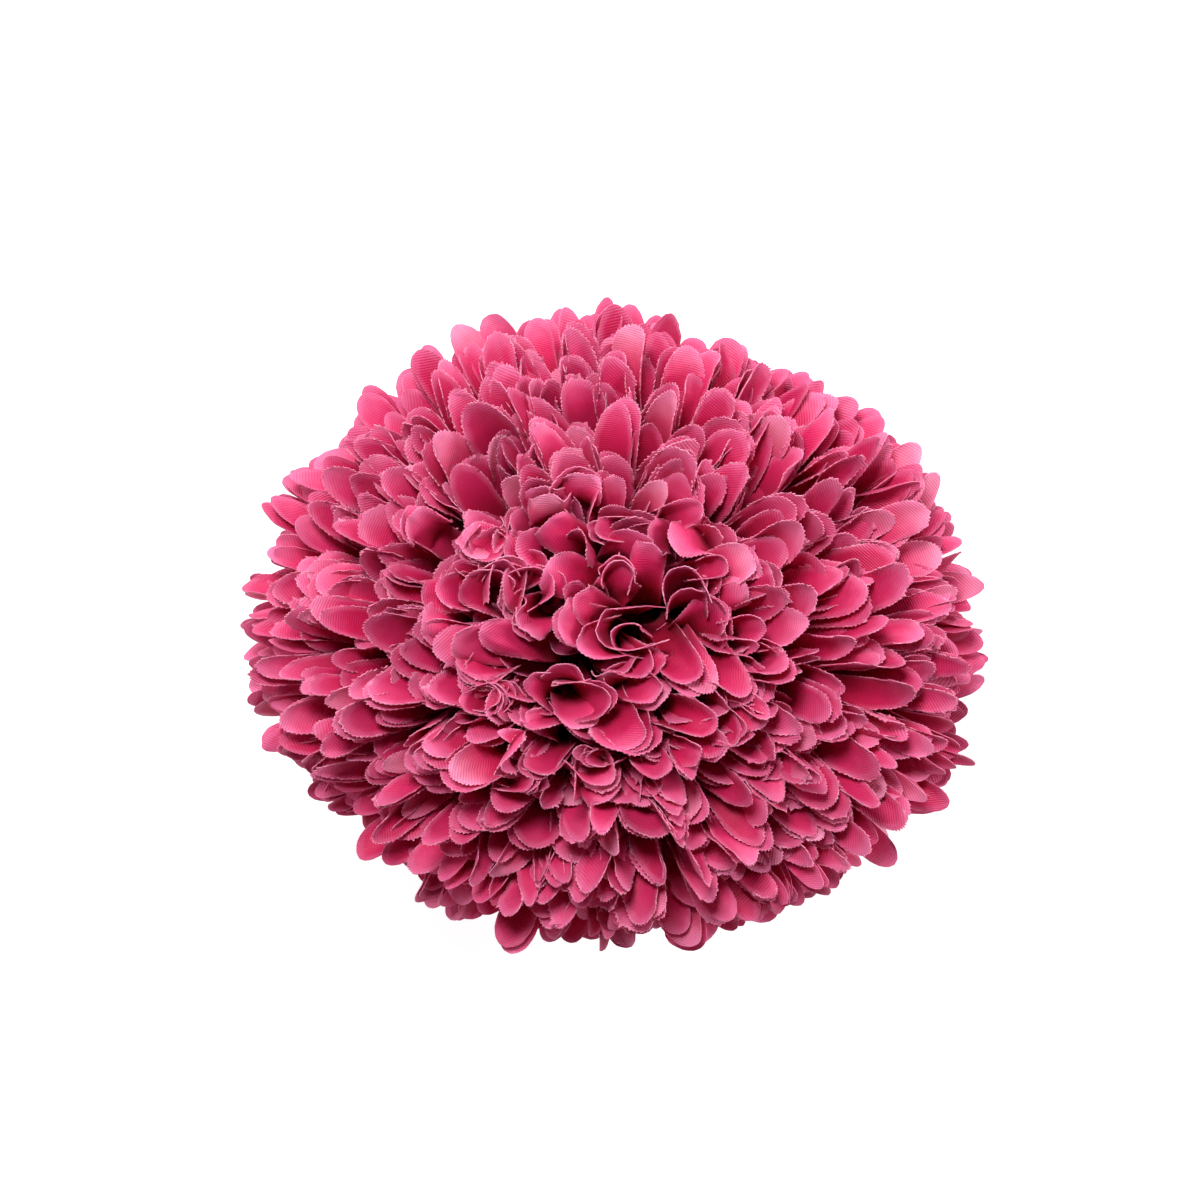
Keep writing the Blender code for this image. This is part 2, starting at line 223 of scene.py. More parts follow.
# A die-cut tongue before it is bent: its nominal size, how far its even grid stays from its rim, the grid's
# least half width, how its rows crowd towards the tip, and how far ahead each row reads the width
TONGUE_LENGTH = 20.0
TONGUE_HALF_WIDTH = 3.6
FRAY_INSET = 0.45
GRID_HALF_WIDTH = 0.4
GRID_CROWDING = 1.35
GRID_AHEAD = 1.012

# Its rim: where fraying starts, the distance of points before that, how uneven the frayed ones are, how much
# longer the tip's arc is than its chord, how far teeth stand out, notches go in and teeth slant, and threads
FRAYED_FROM = 0.6
PLAIN_STEP = 2.6
STEP_SPREAD = (0.8, 1.2)
ARC_LENGTH = 1.15
TOOTH_OUT = (0.5, 1.2)
TOOTH_IN = (0.0, 0.3)
TOOTH_SLANT = (-0.08, 0.08)
THREAD_LENGTHS = (0.15, 0.3, 0.6)
THREAD_SPREAD = (0.7, 1.2)

# Shapes of tongues: the share of the width at the root, where the width is full, the length of the tip and
# how square it is; the step and depth of teeth, the share with a loose thread, how much cleaner the cut is,
# and the grid
TONGUE = {
    "root": 0.55, "shoulder": 0.7, "tip": 0.15, "roundness": 2.0, "step": 0.28, "tooth": 0.19,
    "threads": 0.02, "clean": 0.0, "columns": 7, "rows": 8,
}
TONGUE_SHAPES = (
    TONGUE,
    {**TONGUE, "tip": 0.12, "roundness": 2.1},
    {**TONGUE, "tip": 0.2, "roundness": 1.9, "shoulder": 0.85},
    {**TONGUE, "tip": 0.17, "root": 0.65},
    {**TONGUE, "tip": 0.14, "roundness": 2.2, "shoulder": 0.6},
    {**TONGUE, "tip": 0.26, "roundness": 1.8, "shoulder": 0.8},
)
PLAIN = {**TONGUE, "step": 0.7, "tooth": 0.03, "threads": 0.01, "clean": 0.13, "columns": 6, "rows": 7}
PLAIN_SHAPES = (
    PLAIN,
    {**PLAIN, "tip": 0.13, "roundness": 2.1},
    {**PLAIN, "tip": 0.2, "shoulder": 0.85},
    {**PLAIN, "tip": 0.24, "roundness": 1.9},
)
FAN = {
    **TONGUE, "root": 0.62, "shoulder": 0.5, "tip": 0.17, "roundness": 2.3, "threads": 0.01,
    "columns": 13, "rows": 11,
}
FAN_SHAPES = (
    FAN,
    {**FAN, "tip": 0.22, "roundness": 2.0},
    {**FAN, "tip": 0.16, "roundness": 2.2},
    {**FAN, "tip": 0.25, "roundness": 1.9},
    {**FAN, "tip": 0.2, "shoulder": 0.7},
    {**FAN, "tip": 0.17, "root": 0.7},
)
SHAPES = (*TONGUE_SHAPES, *PLAIN_SHAPES, *FAN_SHAPES)
TONGUE_CUTS = range(len(TONGUE_SHAPES))
PLAIN_CUTS = range(len(TONGUE_SHAPES), len(TONGUE_SHAPES) + len(PLAIN_SHAPES))
FAN_CUTS = range(len(TONGUE_SHAPES) + len(PLAIN_SHAPES), len(SHAPES))
FIRST_PLAIN_TIER = 4

# How a tongue is bent: the least roll in radians, the parts of its length where it comes free of its stack
# and where it curls, its ripples along and across, and a step that keeps the petals' noise apart
LEAST_ROLL = 0.06
FREE_PART = (0.25, 0.9)
CURL_PART = (0.55, 1.15)
RIPPLES_ALONG = 1.6
RIPPLES_ACROSS = 0.35
NOISE_STEP = 97

# The attributes that a finished piece keeps, besides the mesh's own
KEPT_ATTRIBUTES = {"weave", "rim", "along", "tone", "dull", "material_index", "sharp_edge", "sharp_face"}

# Colours of the cloth, from root to rim, and of the plastic. The dark root colour is partly deeper dye and
# partly painted shade; the pale rose is partly paler dye and partly painted highlight; the pale rim colour is
# pale threads, and in the thin rim line also painted highlight
ROOT_DYE_AND_SHADE = (0.40, 0.0008, 0.013, 1)
ROSE = (0.79, 0.028, 0.15, 1)
PALE_ROSE_AND_HIGHLIGHT = (0.91, 0.28, 0.53, 1)
MAUVE = (0.62, 0.04, 0.15, 1)
PALE_RIM = (0.98, 0.44, 0.62, 1)
LEAF_GREEN = (0.10, 0.17, 0.06, 1)
IVORY = (0.68, 0.63, 0.52, 1)

# How far the ribs waver, over what length, and the sizes of mottling and of a rim's breaks, in millimetres
WAVER = 0.12
WAVER_LENGTH = 3.0
MOTTLE_SIZE = 2.4
BREAK_SIZE = 1.4

# The parts of a petal's length where the cloth turns from the dark root, partly painted shade, to rose and
# then pale, partly painted highlight; how far mottling shifts them, and how pale the darkest petal turns and
# how much tone adds
ROSE_PART = (0.45, 0.92)
PALE_PART = (0.8, 1.1)
ROSE_MOTTLE = 0.04
PALE_MOTTLE = 0.05
LEAST_PALE_TIP = 0.25
TONE_PALE_TIP = 0.7

# Smooth steps, as two limits and the shares at them (else 0 and 1): by distance to the rim, by length where a
# name ends in PART, the bleached tips by length and tone, and the breaks by noise
BLEACHED_TIP = (0.7, 1.0, 0.0, 0.3)
BLEACHED_TONES = (0.88, 0.98)
# The pale band along the rim is a painted highlight
HIGHLIGHT_RIM = (0.0, 1.2, 0.3, 0.0)
HIGHLIGHT_PART = (0.5, 0.8)
# The thin pale line at the rim is partly pale threads and partly painted highlight
LINE_RIM = (0.0, 0.2, 0.85, 0.0)
LINE_PART = (0.45, 0.75)
BARE_RIM = (0.0, 0.13, 1.0, 0.3)
BARE_PART = (0.4, 0.8, 0.0, 0.4)
BREAKS = (-0.4, 0.5, 0.1, 1.0)

# The cloth's brightness, what tone, ribs, threads and mottling add to it, the powers by which darker cloth
# loses green and blue, how mauve the dullest petal is, and how much light comes through
BRIGHTNESS = 0.81
TONE_SHADE = 0.3
RIB_SHADE = 0.06
THREAD_SHADE = 0.015
MOTTLE_SHADE = 0.06
GREEN_POWER = 3.2
BLUE_POWER = 2.0
MAUVE_SHARE = 0.45
TRANSLUCENCE = 0.2

# What ribs, threads and mottling add to the cloth's height
RIB_RELIEF = 0.6
THREAD_RELIEF = 0.2
MOTTLE_RELIEF = 0.3

# Plastic: the sizes in metres of its flow mottling and its mould grain, what they add to its brightness and
# roughness, and the roughness of cup and pin
FLOW_SIZE = 0.006
MOULD_GRAIN_SIZE = 0.0004
FLOW_SHADE = 0.12
GRAIN_SHADE = 0.05
FLOW_ROUGHNESS = 0.06
CUP_ROUGHNESS = 0.45
PIN_ROUGHNESS = 0.4

# The studio, in metres and watts. The floor is a light table, whose glow keeps the head's shadow faint. A
# pale wall runs round it and fades into a dim pink ceiling between two heights
FLOOR_REACH = 3
FLOOR_TONE = 0.45
FLOOR_GLOW = 0.92
PAPER_LUMP = 0.05
PAPER_SHADE = 0.004
WALL = (0.80, 0.76, 0.78, 1)
CEILING = (0.10, 0.04, 0.06, 1)
WALL_TOP = (0.1, 0.3)
SOFTBOXES = (
    ("key_softbox", (-0.08, 0.25, 0.63), 0.2, 4.35),
    ("left_softbox", (-0.6, 0.25, 0.3), 0.25, 0.9),
    ("right_softbox", (0.6, 0.15, 0.3), 0.25, 2.5),
    ("rim_softbox", (-0.2, 0.62, 0.25), 0.2, 1.5),
)
LAMP_TARGET = (0, 0, 0.03)

# The camera: lens and sensor in millimetres; the width seen at the head's middle, its shift from the
# head's axis and its near end in metres
LENS = 150.0
SENSOR = 36.0
FRAME_WIDTH = 0.1445
CAMERA_SHIFT = (-0.00156, 0.00504)
CLIP_START = 0.01

# The folds of the bud as seen from above: where the petal comes up (x, y), the middle of its rim (x, y), its
# width, its roll and lean in degrees, and how deep its rim lies under the head's outline; a stack also has
# its number of sheets and how far each stands off the one before
FOLDS = (
    (4.6, 2.4, 8.9, -4.0, 6.4, 120, 36, 0.3),
    (5.0, 1.4, 9.8, -5.7, 5.2, 70, 60, 1.4),
    (6.1, 2.1, 11.2, -5.4, 5.4, 80, 64, 0.9),
    (9.8, -0.5, 15.4, -5.8, 5.4, 80, 64, 1.3, 2, 0.5),
    (0.1, 1.1, -0.4, 1.2, 9.0, 250, 10, 0.7),
    (-0.5, 1.0, -1.6, 0.9, 11.5, 220, 18, 1.1),
    (-0.3, 0.6, -3.8, -0.1, 6.5, 120, 40, 1.0),
    (-1.0, 1.4, -6.5, 2.4, 6.4, 80, 55, 0.7, 2, 0.4),
    (-1.0, 2.9, -3.6, 5.1, 5.5, 90, 40, 1.0),
    (0.5, -0.9, 4.0, -3.4, 6.5, 125, 45, 1.2, 2, 0.5),
    (-0.3, -1.3, 1.6, -3.1, 6.0, 100, 35, 1.9),
    (-0.3, 6.2, -7.2, 9.2, 6.4, 85, 60, 0.4),
    (0.5, 7.3, 0.5, 9.5, 7.0, 200, 18, 0.5, 2, 0.5),
    (-1.0, 4.4, 1.3, 8.7, 5.0, 90, 45, 1.1),
    (-2.3, 9.8, -6.7, 14.2, 5.8, 85, 58, 0.4),
    (0.5, 10.0, 1.6, 12.2, 6.4, 130, 40, 0.8),
    (-7.8, 10.7, -10.4, 11.5, 5.0, 90, 50, 0.8, 2, 0.9),
    (3.8, 4.6, 4.2, 10.4, 4.6, 110, 40, 0.8),
    (8.0, 5.9, 6.6, 8.8, 7.5, 150, 25, 0.6),
    (8.0, 8.1, 13.0, 9.0, 5.5, 200, 60, 0.6),
    (9.8, 7.7, 15.2, 10.5, 5.6, 70, 62, 1.0, 2, 0.5),
    (11.7, 5.5, 17.5, 8.3, 5.2, 60, 62, 1.3),
    (8.0, 4.2, 8.0, 5.9, 6.0, 120, 20, 1.0),
    (8.3, 0.2, 12.6, 4.2, 6.2, 90, 45, 2.4),
    (10.2, 4.7, 15.0, 5.2, 4.6, 80, 60, 1.5),
    (13.2, 1.4, 16.6, 2.5, 5.0, 80, 50, 2.0),
    (-13.8, 6.6, -12.8, 9.0, 8.5, 190, 20, 0.6, 2, 0.5),
    (-13.8, 5.9, -13.2, 7.7, 6.0, 180, 15, 1.0),
    (-13.8, 6.2, -16.8, 7.0, 6.4, 80, 50, 0.9),
    (-8.5, 6.6, -7.0, 7.7, 6.5, 120, 30, 1.2, 2, 0.5),
    (-9.6, 8.1, -8.3, 8.9, 5.0, 100, 30, 1.0),
    (-8.5, 4.0, -10.4, 2.7, 6.4, 120, 30, 1.0, 4, 0.45),
    (-6.1, -0.8, -15.2, 1.0, 4.8, 60, 72, 0.2),
    (-4.8, -5.8, -1.5, -5.8, 8.0, 150, 25, 0.6, 2, 0.4),
    (-6.3, -4.3, -6.6, -2.8, 6.4, 110, 30, 0.9),
    (-4.8, -5.4, -3.6, -9.1, 5.4, 70, 45, 1.2),
    (-6.6, -5.4, -8.9, -3.9, 5.4, 100, 35, 1.0),
    (-1.0, -5.4, 2.3, -11.4, 6.6, 85, 58, 0.4),
    (0.1, -6.1, 3.8, -12.0, 6.4, 80, 56, 1.1, 2, 0.5),
    (-0.3, -4.3, 5.0, -5.8, 6.0, 130, 50, 1.0, 2, 0.5),
    (4.2, -7.2, 11.9, -9.1, 5.6, 110, 62, 0.7),
    (5.0, -8.7, 12.5, -11.7, 5.6, 90, 60, 1.1, 2, 0.5),
    (10.2, -7.2, 14.0, -10.6, 6.0, 130, 45, 1.2, 3, 0.5),
    (4.2, -11.4, 9.8, -12.9, 5.6, 110, 55, 1.2),
    (10.2, -6.9, 17.7, -7.6, 6.5, 60, 66, 1.3),
    (-3.6, 3.8, -4.4, 6.9, 3.2, 72, 35, 1.6),
    (-7.3, 13.5, -8.4, 16.9, 5.3, 72, 52, 1.0, 2, 1.2),
    (-14.4, 12.6, -15.3, 10.3, 5.8, 132, 42, 1.0, 4, 0.5),
    (-12.3, 11.4, -16.4, 12.9, 4.2, 60, 58, 0.8),
    (-15.1, 5.7, -20.2, 5.2, 5.3, 84, 60, 1.0, 2, 1.2),
    (-15.1, 6.6, -18.1, 8.2, 4.4, 72, 50, 1.4),
    (-9.1, -0.1, -18.6, -0.2, 6.1, 60, 68, 0.8, 2, 1.9),
    (-13.9, -1.9, -16.4, -3.3, 6.5, 72, 50, 1.6, 5, 0.4),
    (-15.3, -6.3, -13.2, -6.3, 6.5, 156, 20, 1.4, 6, 0.45),
    (-14.2, -6.0, -17.1, -7.5, 4.4, 72, 45, 1.6),
    (-1.0, -13.2, -2.6, -13.2, 5.6, 252, 24, 1.6, 4, 0.7),
    (-10.9, -11.1, -18.5, -15.3, 6.6, 60, 70, 0.3, 2, 1.0),
    (-5.9, -10.9, -9.0, -14.5, 5.6, 120, 54, 0.8, 2, 0.8),
    (-6.1, -10.2, -9.6, -8.7, 4.6, 108, 35, 1.2),
    (-7.0, -12.0, -13.0, -9.8, 2.5, 72, 62, 0.8),
    (10.9, 11.9, 6.9, 11.5, 5.3, 60, 56, 0.8),
    (0.5, 13.5, -1.2, 13.4, 3.7, 108, 35, 1.2, 2, 0.8),
    (3.8, 13.2, 9.8, 16.3, 3.9, 72, 64, 0.6),
    (1.0, -4.9, 0.1, -3.3, 5.4, 144, 20, 1.8, 2, 0.7),
    (-14.4, -7.7, -21.0, -13.6, 5.4, 60, 66, 0.8, 2, 1.2),
    (-12.1, -15.5, -10.0, -15.9, 5.1, 144, 20, 1.4, 4, 0.5),
    (-20.6, 12.6, -23.3, 13.7, 5.4, 72, 55, 1.0, 2, 1.3),
    (-3.1, -14.5, -1.3, -16.4, 5.6, 84, 50, 1.6, 2, 1.0),
    (6.7, 11.9, 5.1, 12.6, 4.8, 96, 30, 1.2),
    (-4.1, 16.5, -3.6, 19.0, 5.6, 72, 50, 1.0, 2, 1.2),
    (3.1, -11.1, 5.8, -14.5, 5.4, 132, 50, 1.0),
    (-16.2, 2.0, -21.5, 2.9, 5.1, 72, 60, 1.4),
)

# Deep gaps of the bud, which the lower sheets leave open (x, y)
GAPS = ((2.7, 4.9), (1.8, 0.8), (-7.6, 7.2), (-4.8, -10.4), (-1.4, -4.3), (4.0, -6.9), (5.0, 2.5))
GAP_RADIUS = 1.6


# Placing, as in the CAD


def outline(angle):
    """Radius and height of the head's outline at an angle from the +Z axis."""
    half_height = RISE if math.cos(angle) > 0 else DROP
    reach = 1 / math.hypot(math.cos(angle) / half_height, math.sin(angle) / HALF_WIDTH)
    return reach * math.sin(angle), MIDDLE_Z + reach * math.cos(angle)


def unsqueezed(y):
    """The y that the squeeze brings to the given one."""
    full = y
    for _ in range(SQUEEZE_ROUNDS):
        full = y / (SQUEEZE_MEAN + SQUEEZE_LEAN * math.tanh(full / SQUEEZE_BLEND))
    return full


def bezier(points, t):
    a, b, c, d = points
    u = 1.0 - t
    return a * u ** 3 + b * 3 * t * u * u + c * 3 * t * t * u + d * t ** 3


def curve_length(points, start, steps=12):
    """Length of a cubic curve from a share of it to its end."""
    places = [bezier(points, start + (1 - start) * step / steps) for step in range(steps + 1)]
    return sum((after - before).length for before, after in zip(places, places[1:]))


def ease(value):
    value = min(max(value, 0.0), 1.0)
    return value * value * (3 - 2 * value)


def tier_angle(tier):
    return math.radians(FIRST_TIP_ANGLE + (LAST_TIP_ANGLE - FIRST_TIP_ANGLE) * tier / (TIER_COUNT - 1))


def tier_curve(tier):
    """Section of a rosette, as (radius, height) control points; a half number lies between two rosettes."""
    angle = tier_angle(tier)
    radius, height = outline(angle)
    flare = angle + math.radians(TIP_FLARE)
    run = FIRST_RUN + RUN_STEP * tier
    if tier >= WIDEST_TIER:
        run = LOW_RUN - LOW_RUN_STEP * (tier - WIDEST_TIER)
    collar = Vector((COLLAR_RADIUS, TOP_COLLAR_Z - COLLAR_STEP * tier))
    tip = Vector((radius, height))
    return collar, collar + Vector((run, 0)), tip - TIP_RUN * Vector((math.sin(flare), math.cos(flare))), tip


def around(radius, azimuth, height):
    return Vector((radius * math.cos(azimuth), radius * math.sin(azimuth), height))


# Die-cut tongues


def tongue_outline(shape, draw):
    """The frayed outline of a flat tongue in millimetres, from its left root over the tip to its right root,
    and the function that gives its half width at a share of its length."""
    root, shoulder, tip = shape["root"], shape["shoulder"], shape["tip"]
    length, half = TONGUE_LENGTH, TONGUE_HALF_WIDTH

    def half_width(y):
        grown = root + (1 - root) * ease(y / shoulder)
        past = max(y - (1 - tip), 0) / tip
        return half * grown * max(1 - past ** shape["roundness"], 0) ** (1 / shape["roundness"])

    side = []
    y = 0.0
    while y < 1 - tip:
        side.append((y, half_width(y)))
        y += (PLAIN_STEP if y < FRAYED_FROM else shape["step"] * draw.uniform(*STEP_SPREAD)) / length
    arc_steps = round(ARC_LENGTH * math.hypot(half, tip * length) / shape["step"])
    for step in range(arc_steps):
        share = 1 - tip + tip * math.sin(math.pi / 2 * step / arc_steps)
        side.append((share, half_width(share)))
    left = [Vector((-x, y * length)) for y, x in side]
    right = [Vector((x, y * length)) for y, x in reversed(side)]
    points = left + [Vector((0, length))] + right
    smooth = [point.copy() for point in points]
    last = len(points) - 1
    for index in range(1, last):
        if smooth[index].y < FRAYED_FROM * length:
            continue
        run = smooth[index + 1] - smooth[index - 1]
        outwards = Vector((-run.y, run.x)).normalized()
        tooth = shape["tooth"] * (draw.uniform(*TOOTH_OUT) if index % 2 else -draw.uniform(*TOOTH_IN))
        if draw.random() < shape["threads"]:
            tooth += draw.choice(THREAD_LENGTHS) * draw.uniform(*THREAD_SPREAD)
        points[index] += outwards * tooth + run * draw.uniform(*TOOTH_SLANT)
    return points, half_width


def die_cut(name, shape, seed):
    """One flat tongue: an even grid inside, zipped to a frayed outline. The attribute flat holds side and
    length as shares and the distance to the frayed rim in millimetres, more where it is cut clean."""
    draw = random.Random(seed)
    rim, half_width = tongue_outline(shape, draw)
    columns, rows = shape["columns"], shape["rows"]
    mesh = bmesh.new()
    flat = mesh.verts.layers.float_vector.new("flat")

    def corner(x, y, distance):
        vert = mesh.verts.new((x, y, 0))
        vert[flat] = (x / TONGUE_HALF_WIDTH, y / TONGUE_LENGTH, distance + shape["clean"])
        return vert

    top = TONGUE_LENGTH - FRAY_INSET
    grid = []
    for row in range(rows):
        y = top * (1 - (1 - row / (rows - 1)) ** GRID_CROWDING)
        half = max(half_width(min(y / TONGUE_LENGTH * GRID_AHEAD, 1)) - FRAY_INSET, GRID_HALF_WIDTH)
        line = []
        for column in range(columns):
            x = half * (2 * column / (columns - 1) - 1)
            line.append(corner(x, y, FRAY_INSET + min(half - abs(x), top - y)))
        grid.append(line)
    for low, high in zip(grid, grid[1:]):
        for k in range(columns - 1):
            mesh.faces.new((low[k], low[k + 1], high[k + 1], high[k]))
    outer = [corner(point.x, point.y, 0) for point in rim]
    inner = [line[0] for line in grid] + grid[-1][1:-1] + [line[-1] for line in reversed(grid)]
    zip_strips(mesh, inner, outer)
    data = bpy.data.meshes.new(name)
    mesh.to_mesh(data)
    mesh.free()
    made = bpy.data.objects.new(name, data)
    cuts.objects.link(made)
    return made


def zip_strips(mesh, inner, outer):
    """Triangles between two open lines of vertices that run side by side."""
    i = 0
    k = 0
    while i < len(inner) - 1 or k < len(outer) - 1:
        step_inner = i < len(inner) - 1
        if step_inner and k < len(outer) - 1:
            ahead_inner = (inner[i + 1].co - outer[k].co).length
            ahead_outer = (outer[k + 1].co - inner[i].co).length
            step_inner = ahead_inner < ahead_outer
        if step_inner:
            mesh.faces.new((inner[i], inner[i + 1], outer[k]))
            i += 1
        else:
            mesh.faces.new((inner[i], outer[k + 1], outer[k]))
            k += 1


# Node trees


class Field:
    """A value in a node tree that can be reckoned with: each step adds the node that does it."""

    def __init__(self, tree, socket):
        self.tree = tree
        self.socket = socket

    def __add__(self, other):
        return reckon("ADD", self, other)

    def __sub__(self, other):
        return reckon("SUBTRACT", self, other)

    def __rsub__(self, other):
        return reckon("SUBTRACT", other, self)

    def __mul__(self, other):
        if is_vector(self) != is_vector(other):
            return scaled(self, other) if is_vector(self) else scaled(other, self)
        return reckon("MULTIPLY", self, other)

    def __truediv__(self, other):
        if is_vector(self):
            return scaled(self, 1 / other)
        return reckon("DIVIDE", self, other)

    __radd__ = __add__
    __rmul__ = __mul__

    def __rtruediv__(self, other):
        return reckon("DIVIDE", other, self)

    def __pow__(self, other):
        return reckon("POWER", self, other)


def is_vector(value):
    if isinstance(value, Field):
        return value.socket.type in {"VECTOR", "RGBA"}
    return not isinstance(value, (int, float))


def feed(tree, socket, value):
    """Give an input a plain value, a field, or the first output of a node."""
    if isinstance(value, bpy.types.Node):
        tree.links.new(value.outputs[0], socket)
    elif isinstance(value, Field):
        tree.links.new(value.socket, socket)
    else:
        socket.default_value = value


def reckon(operation, *values):
    """The result of a sum or a vector sum on the values, of which one at least is a field."""
    tree = next(value.tree for value in values if isinstance(value, Field))
    vector = any(is_vector(value) for value in values)
    node = tree.nodes.new("ShaderNodeVectorMath" if vector else "ShaderNodeMath")
    node.operation = operation
    for socket, value in zip(node.inputs, values):
        feed(tree, socket, value)
    single = vector and operation in {"DOT_PRODUCT", "LENGTH", "DISTANCE"}
    return Field(tree, node.outputs["Value"] if single else node.outputs[0])


def scaled(vector, factor):
    tree = (vector if isinstance(vector, Field) else factor).tree
    node = tree.nodes.new("ShaderNodeVectorMath")
    node.operation = "SCALE"
    feed(tree, node.inputs[0], vector)
    feed(tree, node.inputs["Scale"], factor)
    return Field(tree, node.outputs[0])


def fade(value, low, high, start=0.0, end=1.0):
    """A smooth step from start to end, as the value goes from low to high."""
    node = value.tree.nodes.new("ShaderNodeMapRange")
    node.interpolation_type = "SMOOTHSTEP"
    limits = {"From Min": low, "From Max": high, "To Min": start, "To Max": end}
    for key, given in {"Value": value, **limits}.items():
        feed(value.tree, node.inputs[key], given)
    return Field(value.tree, node.outputs[0])


def parts(vector):
    node = vector.tree.nodes.new("ShaderNodeSeparateXYZ")
    feed(vector.tree, node.inputs[0], vector)
    return [Field(vector.tree, socket) for socket in node.outputs]


def joined(tree, x, y, z):
    node = tree.nodes.new("ShaderNodeCombineXYZ")
    for socket, value in zip(node.inputs, (x, y, z)):
        feed(tree, socket, value)
    return Field(tree, node.outputs[0])


def noise(place, size, detail=2.0):
    """Noise from -1 to 1 whose lumps are about the given size, in the units of the place."""
    node = place.tree.nodes.new("ShaderNodeTexNoise")
    feed(place.tree, node.inputs["Vector"], place)
    node.inputs["Scale"].default_value = 1 / size
    node.inputs["Detail"].default_value = detail
    return Field(place.tree, node.outputs[0]) * 2 - 1


def add_node(tree, kind, settings=None, **values):
    """A node with its settings, and its inputs fed by name (underscores stand for spaces)."""
    node = tree.nodes.new(kind)
    for key, value in (settings or {}).items():
        setattr(node, key, value)
    for key, value in values.items():
        feed(tree, node.inputs[key.replace("_", " ")], value)
    return node


def attribute(tree, name, kind="FLOAT"):
    node = add_node(tree, "GeometryNodeInputNamedAttribute", {"data_type": kind}, Name=name)
    return Field(tree, node.outputs["Attribute"])


def store(tree, geometry, name, value, kind="FLOAT"):
    node = add_node(tree, "GeometryNodeStoreNamedAttribute", {"data_type": kind}, Geometry=geometry,
                    Name=name, Value=value)
    return Field(tree, node.outputs["Geometry"])


def set_place(tree, geometry, place):
    node = add_node(tree, "GeometryNodeSetPosition", Geometry=geometry, Position=place)
    return Field(tree, node.outputs["Geometry"])


FORMER_INPUTS = {
    "Geometry": "Geometry", "Die cuts": "Collection", "Cloth": "Material", "Axis": "Vector", "Seed": "Float",
    "Wrinkle depth": "Float", "Wrinkle size": "Float", "Rim wave": "Float",
}


